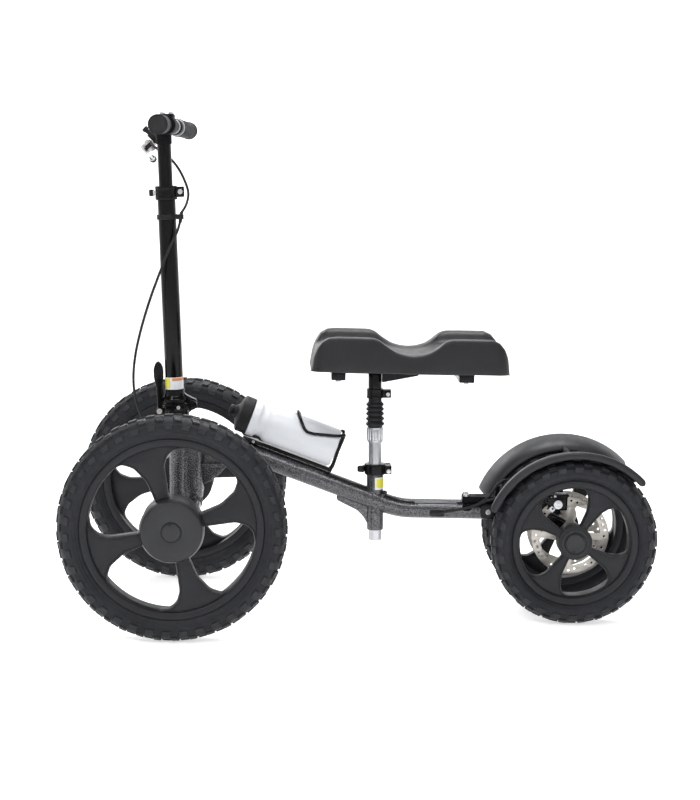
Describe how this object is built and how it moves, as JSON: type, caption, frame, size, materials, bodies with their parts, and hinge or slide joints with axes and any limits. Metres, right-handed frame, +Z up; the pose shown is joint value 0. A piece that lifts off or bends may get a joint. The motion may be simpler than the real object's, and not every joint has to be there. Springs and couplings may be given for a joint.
{
  "type": "knee scooter",
  "caption": "All-terrain knee scooter with folding steering tiller, sprung saddle-shaped knee pad, bottle in a cage, spoked wheels and mudguards",
  "frame": {"origin": "on the ground under the middle of the overall length, on the centre plane", "axes": "+X towards the rear wheels, +Y to the rider's right, +Z up"},
  "size_m": [1.094, 0.532, 0.9188],
  "materials": {
    "frame_paint": "hammered dark grey metallic enamel, satin sheen",
    "black_paint": "gloss black powder coat",
    "black_plastic": "fine-grained black moulding",
    "charcoal_plastic": "satin charcoal moulding",
    "pad_foam": "satin charcoal moulded foam skin with fine leather-like grain",
    "tyre": "dull dark grey rubber with side ribs",
    "rubber": "soft black rubber",
    "aluminium": "bright drawn aluminium",
    "steel": "turned steel, slightly warm",
    "white_plastic": "plain white moulded bottle"
  },
  "bodies": {
    "frame": {"main_beam": "frame_paint", "seat_tube": "frame_paint", "front_axle_beam": "frame_paint", "rear_carrier": "black_paint", "rear_axle": "steel", "fender_bracket": "black_paint", "fender_left": "charcoal_plastic", "fender_right": "charcoal_plastic", "head_bearing": "black_paint", "bottle_cage": "black_paint", "caliper_left": "black_paint", "caliper_right": "black_paint", "seat_clamp": "black_paint", "brake_cable_lower": "rubber", "brake_cable_rear": "rubber"},
    "column": {"steering_shaft": "black_paint", "fold_base": "black_paint"},
    "tiller": {"fold_casting": "black_paint", "tiller_tube": "black_paint", "stem_clamp": "black_paint", "cable_guide": "black_plastic"},
    "handlebar_stem": {"stem_tube": "black_paint", "bar_clamp": "black_paint", "handlebar": "black_paint", "grip_left": "rubber", "grip_right": "rubber", "brake_perch": "black_plastic", "brake_cable_upper": "rubber"},
    "brake_hand_lever": {"brake_lever": "aluminium"},
    "lock_button": {"brake_lock_button": "black_plastic"},
    "stem_knob": {"stem_clamp_knob": "black_plastic"},
    "fold_latch": {"fold_lever": "black_plastic"},
    "seat_height_post": {"seat_post": "aluminium", "shock_bellows": "rubber"},
    "sprung_seat": {"shock_tube": "black_paint", "pad_bracket": "black_paint", "knee_pad": "pad_foam"},
    "seat_release": {"seat_clamp_lever": "black_plastic"},
    "water_bottle": {"bottle": "white_plastic", "bottle_cap": "black_plastic"},
    "knuckle_left_body": {"knuckle_left": "black_paint"},
    "tie_rod_left_body": {"tie_rod_left": "steel"},
    "front_wheel_left": {"front_rim_left": "charcoal_plastic", "front_tyre_left": "tyre", "front_hub_cap_left": "charcoal_plastic"},
    "rear_wheel_left": {"rear_rim_left": "charcoal_plastic", "rear_tyre_left": "tyre", "rear_hub_cap_left": "charcoal_plastic", "brake_rotor_left": "steel"},
    "caliper_arm_left_body": {"caliper_arm_left": "steel"},
    "knuckle_right_body": {"knuckle_right": "black_paint"},
    "tie_rod_right_body": {"tie_rod_right": "steel"},
    "front_wheel_right": {"front_rim_right": "charcoal_plastic", "front_tyre_right": "tyre", "front_hub_cap_right": "charcoal_plastic"},
    "rear_wheel_right": {"rear_rim_right": "charcoal_plastic", "rear_tyre_right": "tyre", "rear_hub_cap_right": "charcoal_plastic", "brake_rotor_right": "steel"},
    "caliper_arm_right_body": {"caliper_arm_right": "steel"}
  },
  "joints": [
    {"name": "steer", "type": "hinge", "parent": "frame", "child": "column", "pos_m": [-0.347, 0, 0.3], "axis": [0, 0, 1], "range_deg": [-30, 30], "deforming": ["brake_cable_lower"]},
    {"name": "fold", "type": "hinge", "parent": "column", "child": "tiller", "pos_m": [-0.322, 0, 0.388], "axis": [0, 1, 0], "range_deg": [0, 50], "deforming": ["brake_cable_lower"]},
    {"name": "fold_latch_turn", "type": "hinge", "parent": "column", "child": "fold_latch", "pos_m": [-0.382, 0, 0.375], "axis": [0, 1, 0], "range_deg": [-80, 0]},
    {"name": "stem_height", "type": "slide", "parent": "tiller", "child": "handlebar_stem", "axis": [-0.0541, 0, 0.9985], "range_m": [-0.07, 0.1], "deforming": ["brake_cable_upper"]},
    {"name": "stem_knob_turn", "type": "hinge", "parent": "tiller", "child": "stem_knob", "pos_m": [-0.3997, 0, 0.7771], "axis": [-0.9985, 0, -0.0541], "continuous": true},
    {"name": "brake_pull", "type": "hinge", "parent": "handlebar_stem", "child": "brake_hand_lever", "pos_m": [-0.41212, 0.09305, 0.86106], "axis": [0.6418, -0.0569, -0.7647], "range_deg": [0, 16], "stiffness_Nm_per_rad": 2, "springref_deg": -14.32, "deforming": ["brake_cable_upper"]},
    {"name": "lock_push", "type": "slide", "parent": "handlebar_stem", "child": "lock_button", "axis": [0.7451, -0.062, -0.6641], "range_m": [0, 0.004], "stiffness_N_per_m": 400, "springref_m": -0.003},
    {"name": "seat_height", "type": "slide", "parent": "frame", "child": "seat_height_post", "axis": [-0.0284, 0, 0.9996], "range_m": [-0.038, 0.08]},
    {"name": "suspension", "type": "slide", "parent": "seat_height_post", "child": "sprung_seat", "axis": [-0.0284, 0, 0.9996], "range_m": [-0.03, 0], "stiffness_N_per_m": 20000, "springref_m": 0.006, "deforming": ["shock_bellows"]},
    {"name": "seat_release_turn", "type": "hinge", "parent": "frame", "child": "seat_release", "pos_m": [0.04615, 0.0245, 0.27163], "axis": [-0.0284, 0, 0.9996], "range_deg": [-90, 0]},
    {"name": "bottle_slide", "type": "slide", "parent": "frame", "child": "water_bottle", "axis": [-0.9409, 0, 0.3387], "range_m": [0, 0.05]},
    {"name": "knuckle_left_turn", "type": "hinge", "parent": "frame", "child": "knuckle_left_body", "pos_m": [-0.344, -0.16, 0.2], "axis": [0, 0, 1], "range_deg": [-30, 30]},
    {"name": "tie_rod_left_turn", "type": "hinge", "parent": "column", "child": "tie_rod_left_body", "pos_m": [-0.387, -0.014, 0.197], "axis": [0, 0, 1], "range_deg": [-30, 30]},
    {"name": "front_wheel_left_spin", "type": "hinge", "parent": "knuckle_left_body", "child": "front_wheel_left", "pos_m": [-0.344, -0.228, 0.203], "axis": [0, 1, 0], "continuous": true},
    {"name": "rear_wheel_left_spin", "type": "hinge", "parent": "frame", "child": "rear_wheel_left", "pos_m": [0.391, -0.076, 0.156], "axis": [0, 1, 0], "continuous": true},
    {"name": "caliper_arm_left_pull", "type": "hinge", "parent": "frame", "child": "caliper_arm_left_body", "pos_m": [0.364, -0.0523, 0.221], "axis": [0, 1, 0], "range_deg": [0, 16], "deforming": ["brake_cable_rear"]},
    {"name": "knuckle_right_turn", "type": "hinge", "parent": "frame", "child": "knuckle_right_body", "pos_m": [-0.344, 0.16, 0.2], "axis": [0, 0, 1], "range_deg": [-30, 30]},
    {"name": "tie_rod_right_turn", "type": "hinge", "parent": "column", "child": "tie_rod_right_body", "pos_m": [-0.387, 0.014, 0.197], "axis": [0, 0, 1], "range_deg": [-30, 30]},
    {"name": "front_wheel_right_spin", "type": "hinge", "parent": "knuckle_right_body", "child": "front_wheel_right", "pos_m": [-0.344, 0.228, 0.203], "axis": [0, 1, 0], "continuous": true},
    {"name": "rear_wheel_right_spin", "type": "hinge", "parent": "frame", "child": "rear_wheel_right", "pos_m": [0.391, 0.076, 0.156], "axis": [0, 1, 0], "continuous": true},
    {"name": "caliper_arm_right_pull", "type": "hinge", "parent": "frame", "child": "caliper_arm_right_body", "pos_m": [0.364, 0.0523, 0.221], "axis": [0, 1, 0], "range_deg": [0, 16], "deforming": ["brake_cable_rear"]}
  ],
  "couplings": [
    {"joint": "knuckle_left_turn", "follows": "steer", "ratio": 1},
    {"joint": "tie_rod_left_turn", "follows": "steer", "ratio": -1},
    {"joint": "caliper_arm_left_pull", "follows": "brake_pull", "ratio": 1},
    {"joint": "knuckle_right_turn", "follows": "steer", "ratio": 1},
    {"joint": "tie_rod_right_turn", "follows": "steer", "ratio": -1},
    {"joint": "caliper_arm_right_pull", "follows": "brake_pull", "ratio": 1}
  ]
}
